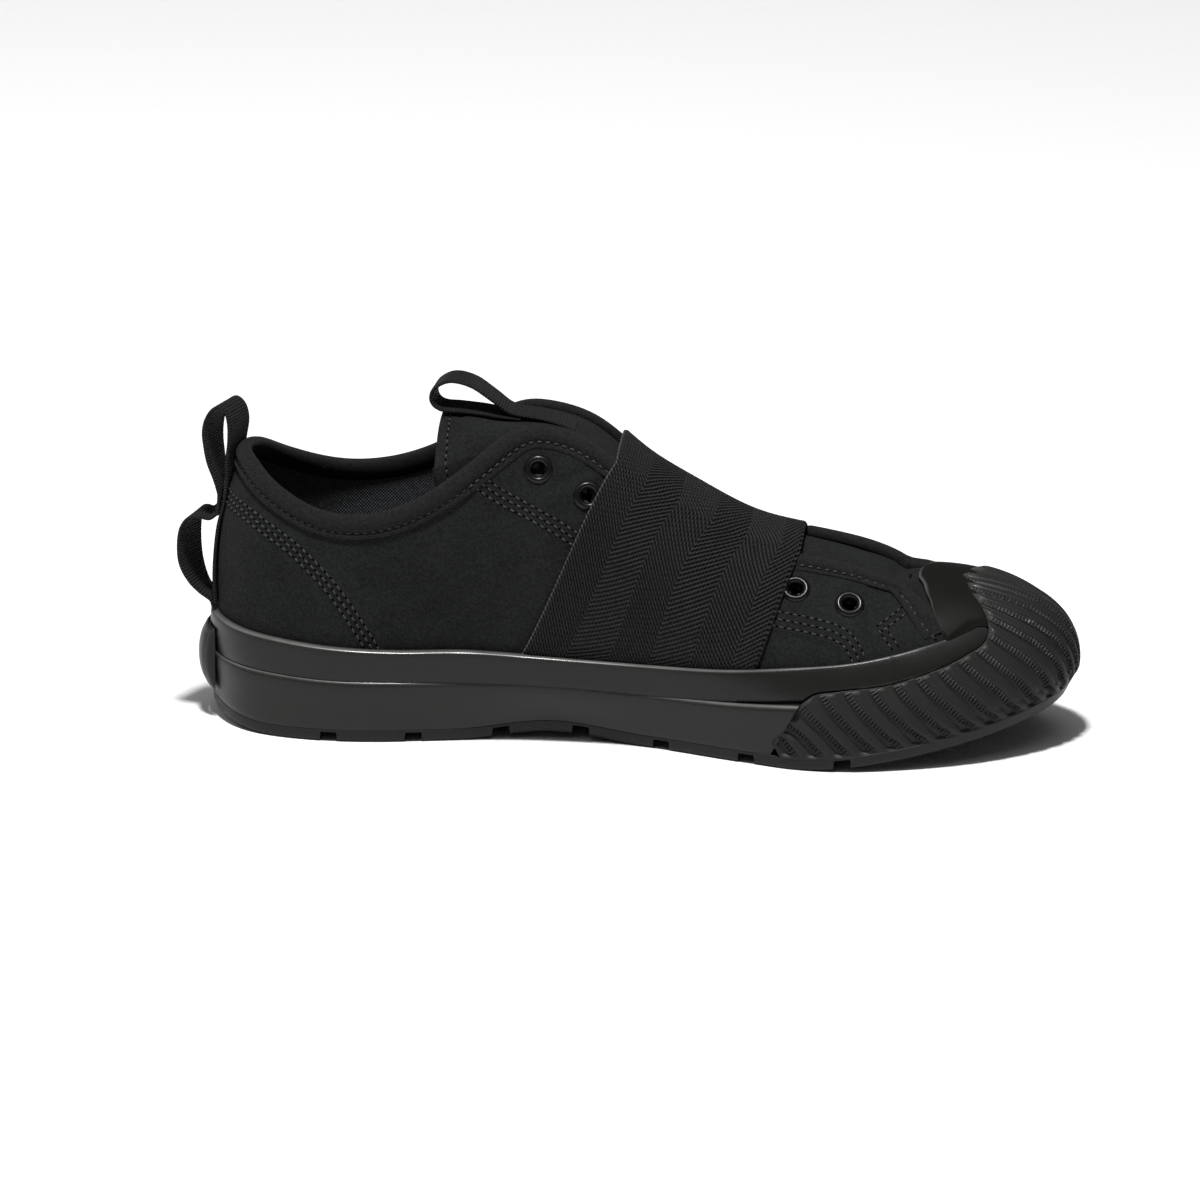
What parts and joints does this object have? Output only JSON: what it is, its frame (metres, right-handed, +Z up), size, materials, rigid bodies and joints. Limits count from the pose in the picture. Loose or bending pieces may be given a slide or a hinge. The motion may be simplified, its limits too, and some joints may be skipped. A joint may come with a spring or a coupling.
{
  "type": "slip-on sneaker",
  "caption": "Low slip-on canvas sneaker for the left foot: hollow upper with a wide elastic band over the instep, rubber toe cap and bumper, webbing pull loops, on a rubber sole.",
  "frame": {"origin": "middle of the underside of the object's box, on the floor plane under the sole", "axes": "+X along the shoe to the toe, +Y to the outer side of the left foot, +Z up"},
  "size_m": [0.3028, 0.106, 0.1185],
  "materials": {
    "outsole_rubber": "matt black rubber",
    "sidewall_rubber": "satin black rubber",
    "foxing_rubber": "satin black rubber",
    "bumper_rubber": "ribbed black rubber",
    "cap_rubber": "smooth black rubber",
    "patch_rubber": "plain black rubber",
    "upper_canvas": "black canvas",
    "tongue_canvas": "black canvas",
    "insole_cloth": "black cloth",
    "band_elastic": "black woven elastic",
    "webbing": "black woven tape",
    "eyelet_metal": "gloss black"
  },
  "bodies": {
    "root": {"outsole": "outsole_rubber", "sidewall": "sidewall_rubber", "foxing": "foxing_rubber", "toe_bumper": "bumper_rubber", "toe_cap": "cap_rubber", "heel_patch": "patch_rubber", "upper": "upper_canvas", "tongue": "tongue_canvas", "insole": "insole_cloth", "elastic_band": "band_elastic", "heel_loop_upper": "webbing", "heel_loop_lower": "webbing", "tongue_loop": "webbing", "eyelet_inner_1": "eyelet_metal", "eyelet_inner_2": "eyelet_metal", "eyelet_inner_3": "eyelet_metal", "eyelet_inner_4": "eyelet_metal", "eyelet_outer_1": "eyelet_metal", "eyelet_outer_2": "eyelet_metal", "eyelet_outer_3": "eyelet_metal", "eyelet_outer_4": "eyelet_metal"}
  },
  "joints": []
}
